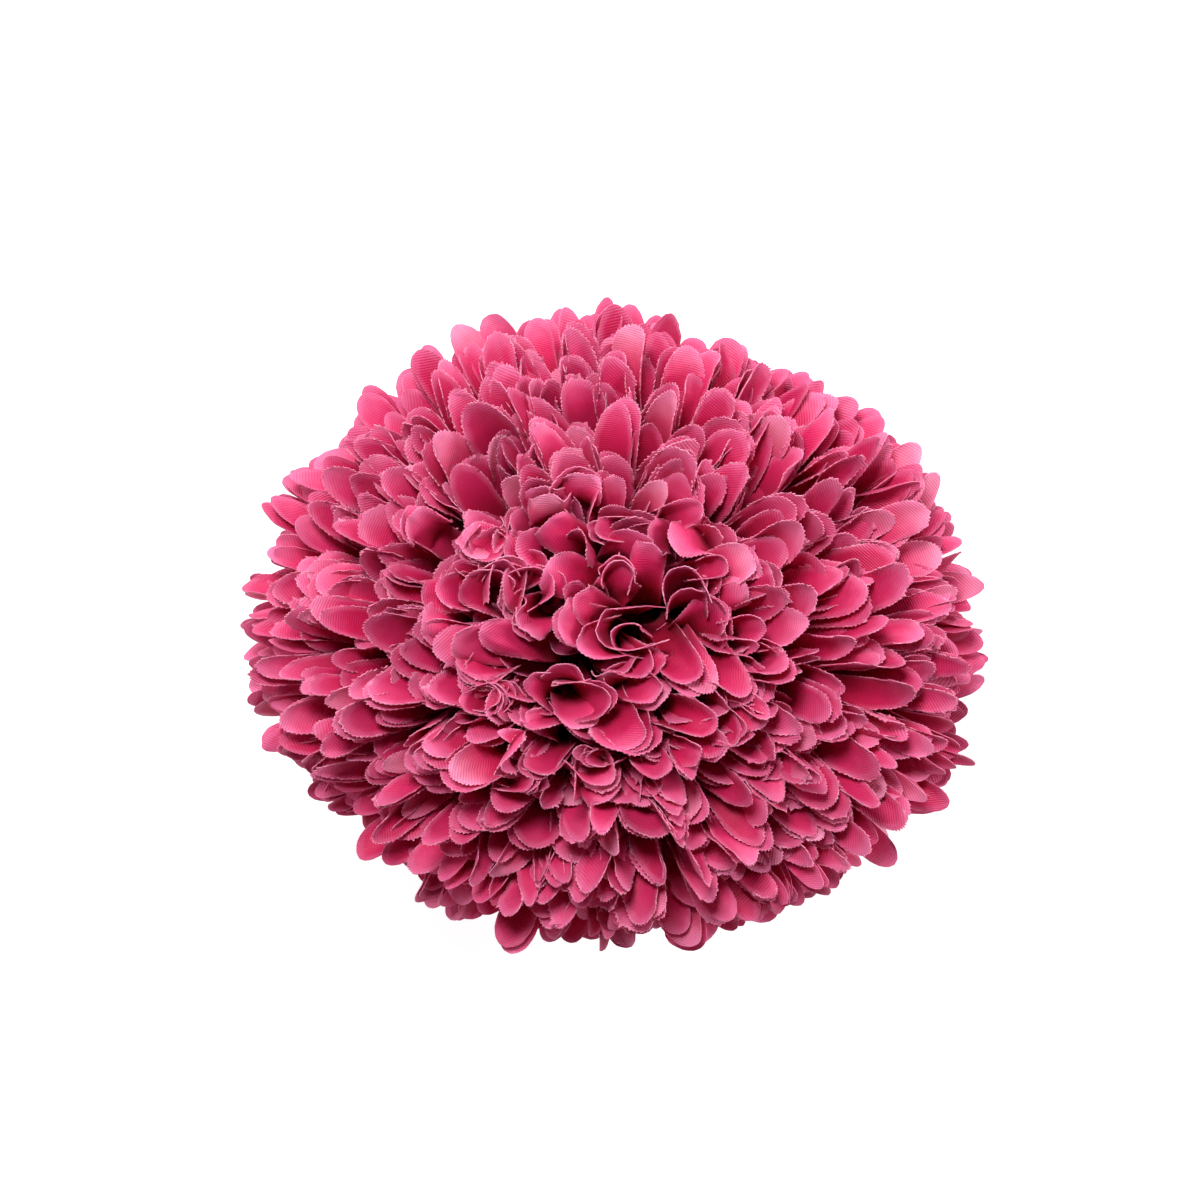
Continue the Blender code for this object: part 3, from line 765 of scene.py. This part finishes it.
def petal_former():
    """The node tree that puts a flat tongue on each petal point and bends it to that point's values."""
    tree = bpy.data.node_groups.new("petal former", "GeometryNodeTree")
    tree.interface.new_socket("Geometry", in_out="OUTPUT", socket_type="NodeSocketGeometry")
    for label, kind in FORMER_INPUTS.items():
        tree.interface.new_socket(label, in_out="INPUT", socket_type="NodeSocket" + kind)
    group = tree.nodes.new("NodeGroupInput")
    given = {label: Field(tree, group.outputs[label]) for label in FORMER_INPUTS}

    def own(name, kind="FLOAT"):
        return attribute(tree, name, kind)

    is_petal = own("petal")
    split = add_node(tree, "GeometryNodeSeparateGeometry", Geometry=given["Geometry"], Selection=is_petal)
    bowl = Field(tree, split.outputs["Inverted"])
    cut_set = add_node(tree, "GeometryNodeCollectionInfo", Collection=given["Die cuts"],
                       Separate_Children=True, Reset_Children=True)
    placed = add_node(tree, "GeometryNodeInstanceOnPoints", Points=Field(tree, split.outputs["Selection"]),
                      Instance=cut_set, Pick_Instance=True, Instance_Index=own("cut", "INT"))
    petals = add_node(tree, "GeometryNodeRealizeInstances", Geometry=placed)

    side, along, rim = parts(own("flat", "FLOAT_VECTOR"))
    a, b, c, d = [own(name, "FLOAT_VECTOR") for name in ("root", "rise", "lead", "tip")]
    start = own("start")
    width = own("width")
    phase = own("phase")

    t = start + (1 - start) * own("reach") * along
    over = reckon("MAXIMUM", t - 1, 0.0)
    t = reckon("MINIMUM", t, 1.0)
    u = 1 - t
    place = a * (u * u * u) + b * (t * u * u * 3) + c * (t * t * u * 3) + d * (t * t * t)
    slope = (b - a) * (u * u * 3) + (c - b) * (u * t * 6) + (d - c) * (t * t * 3)
    place = place + slope * over
    slope = reckon("NORMALIZE", slope)
    across = own("across", "FLOAT_VECTOR")
    across = reckon("NORMALIZE", across - slope * reckon("DOT_PRODUCT", across, slope))
    inward = reckon("CROSS_PRODUCT", slope, across)

    turn = own("twist") * along
    across, inward = (across * reckon("COSINE", turn) + inward * reckon("SINE", turn),
                      inward * reckon("COSINE", turn) - across * reckon("SINE", turn))
    root_roll = own("root_roll")
    roll = reckon("MAXIMUM", root_roll + (own("tip_roll") - root_roll) * along, LEAST_ROLL)
    bend = roll * side / 2
    radius = width / roll
    bulge = own("lift") * along * along + radius * (1 - reckon("COSINE", bend))
    free = fade(along, *FREE_PART)
    wave = reckon("SINE", (along * RIPPLES_ALONG + side * RIPPLES_ACROSS + phase) * math.tau)
    bulge = bulge + own("ripple") * wave * free * side * side
    bulge = bulge + own("curl") * fade(along, *CURL_PART) * (1 + side * side)
    bulge = bulge + own("edge") * free * side * side * side * side
    spread = radius * reckon("SINE", bend) + own("sway") * along * along
    flat_x = side * width / 2
    flat_y = along * own("length")
    spot = joined(tree, flat_x, flat_y, phase * NOISE_STEP + given["Seed"])
    crumple = noise(spot * (1 / given["Wrinkle size"]), 1.0) * free
    bulge = bulge + crumple * given["Wrinkle depth"]
    bulge = bulge + noise(spot, RIM_WAVE_SIZE, detail=1.0) * given["Rim wave"] * free * side * side
    formed = set_place(tree, petals, place + across * spread + inward * bulge)

    grain = own("grain")
    cosine, sine = reckon("COSINE", grain), reckon("SINE", grain)
    weave = joined(tree, flat_x * cosine + flat_y * sine, flat_y * cosine - flat_x * sine, phase)
    formed = store(tree, formed, "weave", weave, "FLOAT_VECTOR")
    formed = store(tree, formed, "rim", rim)
    formed = store(tree, formed, "along", along)

    together = tree.nodes.new("GeometryNodeJoinGeometry")
    tree.links.new(formed.socket, together.inputs[0])
    tree.links.new(bowl.socket, together.inputs[0])
    x, y, z = parts(Field(tree, tree.nodes.new("GeometryNodeInputPosition").outputs[0]))
    factor = SQUEEZE_MEAN + SQUEEZE_LEAN * reckon("TANH", y / SQUEEZE_BLEND)
    squeezed = joined(tree, x, y * factor, z) * MM + given["Axis"]
    head = set_place(tree, together, squeezed)
    smooth = add_node(tree, "GeometryNodeSetShadeSmooth", Geometry=head)
    painted = add_node(tree, "GeometryNodeSetMaterial", Geometry=smooth, Material=given["Cloth"])
    out = tree.nodes.new("NodeGroupOutput")
    feed(tree, out.inputs[0], painted)
    return tree


# Petal points


def petal(looks, curve, across, **given):
    """The values of one petal, with the little differences that every petal has."""
    values = {
        "root": curve[0], "rise": curve[1], "lead": curve[2], "tip": curve[3], "across": across,
        "start": SLIT_START, "reach": 1.0,
        "root_roll": looks.uniform(*ROOT_ROLL), "tip_roll": looks.uniform(*TIP_ROLL),
        "lift": 0.0, "sway": looks.gauss(0, SWAY_SPREAD), "twist": looks.gauss(0, TWIST_SPREAD),
        "curl": looks.uniform(*CURL), "ripple": looks.uniform(*RIPPLE), "phase": looks.random(),
        "edge": looks.uniform(*EDGE),
        "grain": math.radians(looks.choice((-1, 1)) * looks.uniform(*GRAIN_DEGREES)),
        "tone": looks.random(), "dull": looks.random() ** 2,
        "petal": 1.0,
    }
    values.update(given)
    values["length"] = curve_length(curve, values["start"]) * values["reach"]
    return values


def tier_petal(looks, tier, curve, azimuth, **given):
    """A petal on a rosette's (radius, height) section, turned to its azimuth."""
    place = [around(point.x, azimuth, point.y) for point in curve]
    across = Vector((-math.sin(azimuth), math.cos(azimuth), 0))
    width = looks.uniform(*tier_kind(tier)["width"])
    return petal(looks, place, across, width=width, cut=looks.choice(tier_cuts(tier)), **given)


def tier_kind(tier):
    return WIDE_PETALS if tier < FIRST_NARROW_TIER else NARROW_PETALS


def tier_cuts(tier):
    return TONGUE_CUTS if tier < FIRST_PLAIN_TIER else PLAIN_CUTS


def lopsided(azimuth):
    """How much longer the petals are on a side of the head, as a share."""
    total = 0.0
    for middle, spread, share in LOPSIDED:
        away = abs((math.degrees(azimuth) - middle + 180) % 360 - 180)
        total += share * (1 - ease(away / spread))
    return total


def waves(kinds, azimuth, tier):
    """A sum of waves round the head, which drift from one rosette to the next."""
    return sum(height * math.sin(number * azimuth + drift * tier + start)
               for height, number, drift, start in kinds)


def rosette_petals(tier):
    """A rosette's petals: one at each of the CAD's places and three or four more between it and the rosette
    above, some of them out of line and some with a second sheet behind."""
    draw = random.Random(SEED + tier)
    looks = random.Random(SEED * 100 + tier)
    kind = tier_kind(tier)
    curve = tier_curve(tier)
    count = round(2 * math.pi * curve[3].x / TIP_PITCH)
    pitch = 2 * math.pi / count
    phase = draw.uniform(0, pitch)
    made = []
    for number in range(count):
        lift = draw.choice((-LIFT_STEP, LIFT_STEP)) + draw.uniform(-LIFT_SPREAD, LIFT_SPREAD)
        if tier == 0:
            lift = lift * TOP_LIFT_SCALE + TOP_LIFT_SHIFT
        stretch = 1 + draw.uniform(-LENGTH_SPREAD, LENGTH_SPREAD)
        azimuth = phase + pitch * (number + 0.5)
        side = lopsided(azimuth) if tier >= FIRST_LOPSIDED_TIER else 0.0
        fronts = [tier_petal(looks, tier, curve, azimuth, lift=lift, reach=stretch + side)]
        for low, high, longest, beside in LAYERS[:kind["layers"]]:
            between = tier_curve(tier - looks.uniform(low, high))
            turned = azimuth + pitch * (beside + looks.uniform(*LAYER_TURN))
            fronts.append(tier_petal(looks, tier, between, turned, lift=looks.uniform(*LAYER_LIFT),
                                     reach=looks.uniform(LAYER_REACH, longest) + side))
        heave = waves(HEAVES, azimuth, tier)
        clump = waves(CLUMPS, azimuth, tier)
        for front in fronts:
            front["sway"] += clump
            front["lift"] += heave
            front["reach"] += heave * HEAVE_REACH
            if looks.random() < ODD_SHARE:
                front["twist"] = looks.choice((-1, 1)) * looks.uniform(*kind["odd_twist"])
                front["sway"] += looks.uniform(*ODD_SWAY)
                front["tip_roll"] = looks.uniform(*ODD_TIP_ROLL)
            made.append(front)
            if looks.random() < DOUBLED_SHARE:
                made.append(sheet_behind(looks, tier, front))
    return made


def sheet_behind(looks, tier, front):
    """The next sheet of the same stack: close behind, a little longer or shorter and a little turned."""
    values = dict(front)
    run = (front["tip"] - front["lead"]).normalized()
    behind = front["across"].cross(run)
    shift = behind * BEHIND_GAP + front["across"] * looks.uniform(*BEHIND_ASIDE)
    values["lead"] = front["lead"] + shift * BEHIND_LEAD
    values["tip"] = front["tip"] + shift
    for key, limits in BEHIND_CHANCES.items():
        values[key] = front[key] + looks.uniform(*limits)
    values["phase"] = looks.random()
    values["grain"] = front["grain"] + looks.uniform(*BEHIND_GRAIN)
    values["tone"] = looks.random()
    values["cut"] = looks.choice(tier_cuts(tier))
    return values


def fold_petals():
    """The bud: its folds with all their sheets, and lower sheets that fill the space between them."""
    looks = random.Random(SEED * 7)
    made = []
    for base_x, base_y, tip_x, tip_y, width, roll, tilt, sink, *stack in FOLDS:
        sheets, apart = stack or (1, 0)
        base = Vector((base_x, unsqueezed(base_y)))
        tip = Vector((tip_x, unsqueezed(tip_y)))
        lean = (tip - base).normalized()
        dull = looks.random() ** 2
        for sheet in range(sheets):
            further = min(sheet, 1)
            away = lean * sheet * apart * (1 if sheets < THICK_STACK else THICK_STACK_SPACING)
            aside = Vector((-lean.y, lean.x)) * looks.uniform(*SHEET_ASIDE) * min(sheet, 2)
            depth = sink + (SHEET_SINK + SHEET_SINK_SLOPE * apart) * sheet
            made.append(fold_petal(looks, base + away * 0.5, tip + away + aside, depth,
                                   width + looks.uniform(*SHEET_WIDER) * further,
                                   roll * looks.uniform(*SHEET_ROLL),
                                   tilt + looks.uniform(*SHEET_TILT) * further, dull))
    for number in range(FILLERS):
        turn = number * GOLDEN_TURN
        reach = FILLER_REACH * math.sqrt((number + 0.5) / FILLERS)
        tip = Vector((math.cos(turn), math.sin(turn))) * reach
        facing = turn + looks.uniform(*FILLER_TURN)
        lean = Vector((math.cos(facing), math.sin(facing)))
        values = [looks.uniform(*limits) for limits in FILLER_LIMITS]
        if all(math.hypot(tip.x - gap_x, tip.y - unsqueezed(gap_y)) > GAP_RADIUS for gap_x, gap_y in GAPS):
            made.append(fold_petal(looks, tip - lean * FILLER_LEAN, tip, *values, looks.random()))
    return made


def fold_petal(looks, base, tip, sink, width, roll, tilt, dull):
    """One sheet of the bud: straight up from its base, then out to its rim."""
    angle = math.asin(min(tip.length / HALF_WIDTH, 1.0))
    rim = Vector((tip.x, tip.y, outline(angle)[1] - sink))
    lean = (tip - base).normalized().to_3d()
    up = Vector((0, 0, 1))
    root = Vector((base.x, base.y, rim.z - FOLD_DEPTH))
    tilted = math.radians(tilt)
    run = max(FOLD_TIP_RUN, (tip - base).length * FOLD_LEAN_SHARE)
    curve = root, root + up * FOLD_RISE, rim - (lean * math.sin(tilted) + up * math.cos(tilted)) * run, rim
    chances = {key: looks.uniform(*limits) for key, limits in FOLD_CHANCES.items()}
    return petal(looks, curve, Vector((-lean.y, lean.x, 0)), start=0.0, width=width, dull=dull,
                 root_roll=math.radians(roll) * FOLD_ROOT_ROLL, tip_roll=math.radians(roll),
                 cut=looks.choice(FAN_CUTS), **chances)


# Surfaces under the petals


def surface_vert(mesh, place, along, layers):
    vert = mesh.verts.new(place)
    vert[layers["weave"]] = (place.x, place.y, 0)
    for key, value in {**BOWL_VALUES, "along": along}.items():
        vert[layers[key]] = value
    return vert


def cloth_layers(mesh):
    layers = {"weave": mesh.verts.layers.float_vector.new("weave")}
    for name in ("rim", "along", "tone", "dull", "petal"):
        layers[name] = mesh.verts.layers.float.new(name)
    return layers


def rosette_bowl(tier):
    """The uncut middle of a rosette, from the hole in its collar out to past its slits."""
    curve = tier_curve(tier)
    section = [Vector((COLLAR_HOLE, curve[0].y))]
    reach = SLIT_START + BOWL_OVERLAP
    section += [bezier(curve, reach * step / (BOWL_RINGS - 1)) for step in range(BOWL_RINGS)]
    return revolved(section)


def revolved(section):
    """The surface that a section of (radius, height) points makes round the axis."""
    mesh = bmesh.new()
    layers = cloth_layers(mesh)
    rings = []
    for number, point in enumerate(section):
        line = []
        for step in range(BOWL_SEGMENTS):
            azimuth = 2 * math.pi * step / BOWL_SEGMENTS
            place = around(point.x, azimuth, point.y)
            along = BOWL_ALONG * number / (len(section) - 1)
            line.append(surface_vert(mesh, place, along, layers))
        rings.append(line)
    for low, high in zip(rings, rings[1:]):
        for k in range(BOWL_SEGMENTS):
            after = (k + 1) % BOWL_SEGMENTS
            mesh.faces.new((low[k], high[k], high[after], low[after]))
    return mesh


def bud_core():
    """The crumpled cloth that the folds of the bud stand on."""
    section = []
    for step in range(CORE_STEPS + 1):
        angle = math.pi * (CORE_START + CORE_SPAN * step / CORE_STEPS)
        radius = CORE_RADIUS * math.sin(angle) * (1 + CORE_DENT * math.sin(step * CORE_DENT_TURN))
        section.append(Vector((radius, max(CORE_Z + CORE_HALF_HEIGHT * math.cos(angle), CORE_FLOOR))))
    section.append(Vector((COLLAR_HOLE, CORE_FLOOR)))
    return revolved(section)


def base_mesh(name, mesh, petals):
    """A mesh of an uncut surface and one loose point for each petal, which carries the petal's values."""
    data = bpy.data.meshes.new(name)
    first = len(mesh.verts)
    for _ in petals:
        mesh.verts.new((0, 0, 0))
    mesh.to_mesh(data)
    mesh.free()
    for key, sample in petals[0].items():
        is_place = isinstance(sample, Vector)
        whole = isinstance(sample, int)
        kind = "FLOAT_VECTOR" if is_place else "INT" if whole else "FLOAT"
        layer = data.attributes.get(key) or data.attributes.new(key, kind, "POINT")
        for number, values in enumerate(petals):
            setattr(layer.data[first + number], "vector" if is_place else "value", values[key])
    return data


def formed_piece(name, data, seed, wrinkle=PETAL_WRINKLE, wave=PETAL_RIM_WAVE):
    """Run the petal former over a base mesh, give the cloth its thickness and keep the plain mesh."""
    piece = bpy.data.objects.new(name, data)
    bpy.context.scene.collection.objects.link(piece)
    piece.data.materials.append(cloth_material)
    piece.data.materials.append(fray_material)
    former = piece.modifiers.new("petal former", "NODES")
    former.node_group = former_tree
    values = {
        "Die cuts": cuts, "Cloth": cloth_material, "Wrinkle depth": wrinkle, "Wrinkle size": WRINKLE_SIZE,
        "Rim wave": wave, "Axis": axis, "Seed": float(seed),
    }
    for item in former_tree.interface.items_tree:
        if item.name in values:
            former[item.identifier] = values[item.name]
    solid = piece.modifiers.new("cloth", "SOLIDIFY")
    solid.thickness = CLOTH * MM
    solid.offset = 0
    solid.material_offset_rim = 1
    bpy.context.view_layer.update()
    made = bpy.data.meshes.new_from_object(piece.evaluated_get(bpy.context.evaluated_depsgraph_get()))
    piece.modifiers.clear()
    piece.data = made
    made.materials.clear()
    made.materials.append(cloth_material)
    made.materials.append(fray_material)
    for layer in list(made.attributes):
        if layer.name not in KEPT_ATTRIBUTES and not layer.is_internal and not layer.is_required:
            made.attributes.remove(layer)
    made.set_sharp_from_angle(angle=math.radians(SHARP_ANGLE))
    return piece


# Materials


def new_material(name):
    """A material with an empty node tree, and that tree."""
    material = bpy.data.materials.new(name)
    material.use_nodes = True
    material.node_tree.nodes.clear()
    return material, material.node_tree


def shader_attribute(tree, name, output="Fac"):
    node = tree.nodes.new("ShaderNodeAttribute")
    node.attribute_name = name
    return Field(tree, node.outputs[output])


def mixed(tree, factor, first, second, blend="MIX"):
    """The first colour, with the second one laid over it by a factor."""
    node = add_node(tree, "ShaderNodeMix", {"data_type": "RGBA", "blend_type": blend})
    feed(tree, node.inputs["Factor"], factor)
    colour_inputs = [socket for socket in node.inputs if socket.type == "RGBA"]
    for socket, value in zip(colour_inputs, (first, second)):
        feed(tree, socket, value)
    return Field(tree, next(socket for socket in node.outputs if socket.type == "RGBA"))


def petal_cloth(name, frayed):
    """Ribbed polyester, rose, with light coming through: darker towards the root, partly deeper dye and
    partly painted shade, and paler towards the tip and rim, partly paler dye and threads and partly painted
    highlight. The frayed one is for the cut edges, which show more of the pale threads."""
    material, tree = new_material(name)
    along = shader_attribute(tree, "along")
    tone = shader_attribute(tree, "tone")
    dull = shader_attribute(tree, "dull")
    rim = shader_attribute(tree, "rim")
    weave = shader_attribute(tree, "weave", "Vector")
    across_ribs, along_ribs, _ = parts(weave)
    waver = noise(weave, WAVER_LENGTH) * WAVER
    rib = reckon("SINE", (across_ribs + waver) * (math.tau / RIB_PITCH))
    thread = reckon("SINE", along_ribs * (math.tau / THREAD_PITCH))
    mottle = noise(weave, MOTTLE_SIZE, detail=3.0)

    # Dark towards the root: partly deeper dye, partly painted shade
    colour = mixed(tree, fade(along + mottle * ROSE_MOTTLE, *ROSE_PART), ROOT_DYE_AND_SHADE, ROSE)
    # Pale towards the tip: partly paler dye, partly painted highlight
    pale_tip_and_highlight = fade(along + mottle * PALE_MOTTLE, *PALE_PART) * (tone * TONE_PALE_TIP + LEAST_PALE_TIP)
    colour = mixed(tree, pale_tip_and_highlight, colour, PALE_ROSE_AND_HIGHLIGHT)
    bleached_tip = fade(along, *BLEACHED_TIP) * fade(tone, *BLEACHED_TONES)
    colour = mixed(tree, bleached_tip, colour, PALE_RIM)
    colour = mixed(tree, dull * MAUVE_SHARE, colour, MAUVE)
    bright = BRIGHTNESS + tone * TONE_SHADE + rib * RIB_SHADE + thread * THREAD_SHADE + mottle * MOTTLE_SHADE
    shade = joined(tree, bright, bright ** GREEN_POWER, bright ** BLUE_POWER)
    colour = mixed(tree, 1.0, colour, shade, "MULTIPLY")
    # A pale band along the rim: painted highlight
    rim_highlight = fade(rim, *HIGHLIGHT_RIM) * fade(along, *HIGHLIGHT_PART)
    colour = mixed(tree, rim_highlight, colour, PALE_ROSE_AND_HIGHLIGHT)
    broken = fade(noise(weave, BREAK_SIZE), *BREAKS)
    # A thin broken pale line at the rim: partly pale threads, partly painted highlight
    thread_and_highlight_line = fade(rim, *LINE_RIM) * fade(along, *LINE_PART) * broken
    colour = mixed(tree, thread_and_highlight_line, colour, PALE_RIM)
    if frayed:
        bare_threads = fade(along, *BARE_PART) * fade(rim, *BARE_RIM) * broken
        colour = mixed(tree, bare_threads, colour, PALE_RIM)

    height = rib * RIB_RELIEF + thread * THREAD_RELIEF + mottle * MOTTLE_RELIEF
    bump = add_node(tree, "ShaderNodeBump", Height=height, Strength=0.45, Distance=0.00008)
    front = add_node(tree, "ShaderNodeBsdfPrincipled", Base_Color=colour, Roughness=0.42, Sheen_Weight=0.02,
                     Sheen_Roughness=0.4, Specular_IOR_Level=0.25, Normal=bump)
    through = add_node(tree, "ShaderNodeBsdfTranslucent", Color=colour)
    both = tree.nodes.new("ShaderNodeMixShader")
    both.inputs[0].default_value = TRANSLUCENCE
    feed(tree, both.inputs[1], front)
    feed(tree, both.inputs[2], through)
    add_node(tree, "ShaderNodeOutputMaterial", Surface=both)
    return material


def moulded_plastic(name, colour, roughness):
    """Moulded plastic with faint flow mottling and a fine mould grain."""
    material, tree = new_material(name)
    place = Field(tree, tree.nodes.new("ShaderNodeTexCoord").outputs["Object"])
    flow = noise(place, FLOW_SIZE, detail=3.0)
    grain = noise(place, MOULD_GRAIN_SIZE)
    bright = 1 + flow * FLOW_SHADE + grain * GRAIN_SHADE
    shade = mixed(tree, 1.0, colour, joined(tree, bright, bright, bright), "MULTIPLY")
    bump = add_node(tree, "ShaderNodeBump", Height=grain, Strength=0.2, Distance=0.00005)
    body = add_node(tree, "ShaderNodeBsdfPrincipled", Base_Color=shade, Normal=bump,
                    Roughness=flow * FLOW_ROUGHNESS + roughness)
    add_node(tree, "ShaderNodeOutputMaterial", Surface=body)
    return material


def floor_paper():
    """White paper on a light table."""
    material, tree = new_material("floor_paper")
    place = Field(tree, tree.nodes.new("ShaderNodeTexCoord").outputs["Object"])
    bright = FLOOR_TONE + noise(place, PAPER_LUMP) * PAPER_SHADE
    body = add_node(tree, "ShaderNodeBsdfPrincipled", Base_Color=joined(tree, bright, bright, bright),
                    Roughness=0.9, Emission_Color=(1, 1, 1, 1), Emission_Strength=FLOOR_GLOW)
    add_node(tree, "ShaderNodeOutputMaterial", Surface=body)
    return material


# Studio


def softbox(name, place, size, power):
    """A round lamp that is turned to the head."""
    data = bpy.data.lights.new(name, "AREA")
    data.shape = "DISK"
    data.size = size
    data.energy = power
    lamp = bpy.data.objects.new(name, data)
    bpy.context.scene.collection.objects.link(lamp)
    lamp.location = place
    lamp.rotation_euler = (Vector(LAMP_TARGET) - Vector(place)).to_track_quat("-Z", "Y").to_euler()


# The head

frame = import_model()
low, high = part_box("back_cup")
axis = ((low.x + high.x) / 2, (low.y + high.y) / 2, 0.0)

cuts = bpy.data.collections.new("die cuts")
bpy.context.scene.collection.children.link(cuts)
for number, shape in enumerate(SHAPES):
    die_cut("cut_%02d" % number, shape, SEED + number)

cloth_material = petal_cloth("petal_cloth", False)
fray_material = petal_cloth("petal_fray", True)
former_tree = petal_former()

for tier in range(TIER_COUNT):
    name = "petal_tier_%02d" % (tier + 1)
    base = base_mesh(name + "_points", rosette_bowl(tier), rosette_petals(tier))
    piece = formed_piece("cloth_" + name, base, tier)
    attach(piece, "root")
    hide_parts(name)
bud_base = base_mesh("crown_points", bud_core(), fold_petals())
bud = formed_piece("cloth_crown_folds", bud_base, BUD_SEED, BUD_WRINKLE, BUD_RIM_WAVE)
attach(bud, "root")
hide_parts("crown_folds")
for item in list(cuts.objects):
    bpy.data.objects.remove(item)
bpy.data.collections.remove(cuts)

for node, material in (("back_cup", moulded_plastic("cup_plastic", LEAF_GREEN, CUP_ROUGHNESS)),
                       ("centre_pin", moulded_plastic("pin_plastic", IVORY, PIN_ROUGHNESS))):
    frame["nodes"][node].data.materials.clear()
    frame["nodes"][node].data.materials.append(material)

# Floor, lights and camera

floor_data = bpy.data.meshes.new("floor")
corners = [(x * FLOOR_REACH, y * FLOOR_REACH, 0) for x, y in ((-1, -1), (1, -1), (1, 1), (-1, 1))]
floor_data.from_pydata(corners, [], [(0, 1, 2, 3)])
floor_data.materials.append(floor_paper())
floor = bpy.data.objects.new("floor", floor_data)
bpy.context.scene.collection.objects.link(floor)

for name, place, size, power in SOFTBOXES:
    softbox(name, place, size, power)

world = bpy.data.worlds.new("studio")
bpy.context.scene.world = world
world.use_nodes = True
sky = world.node_tree
background = sky.nodes["Background"]
height = parts(Field(sky, sky.nodes.new("ShaderNodeTexCoord").outputs["Generated"]))[2]
feed(sky, background.inputs["Color"], mixed(sky, fade(height, *WALL_TOP), WALL, CEILING))
background.inputs["Strength"].default_value = 1.0

camera_data = bpy.data.cameras.new("camera")
camera_data.lens = LENS
camera_data.sensor_width = SENSOR
camera_data.clip_start = CLIP_START
camera = bpy.data.objects.new("camera", camera_data)
bpy.context.scene.collection.objects.link(camera)
distance = FRAME_WIDTH * LENS / SENSOR
camera.location = (axis[0] + CAMERA_SHIFT[0], axis[1] + CAMERA_SHIFT[1], MIDDLE_Z * MM + distance)
bpy.context.scene.camera = camera
bpy.context.scene.view_settings.view_transform = "Standard"
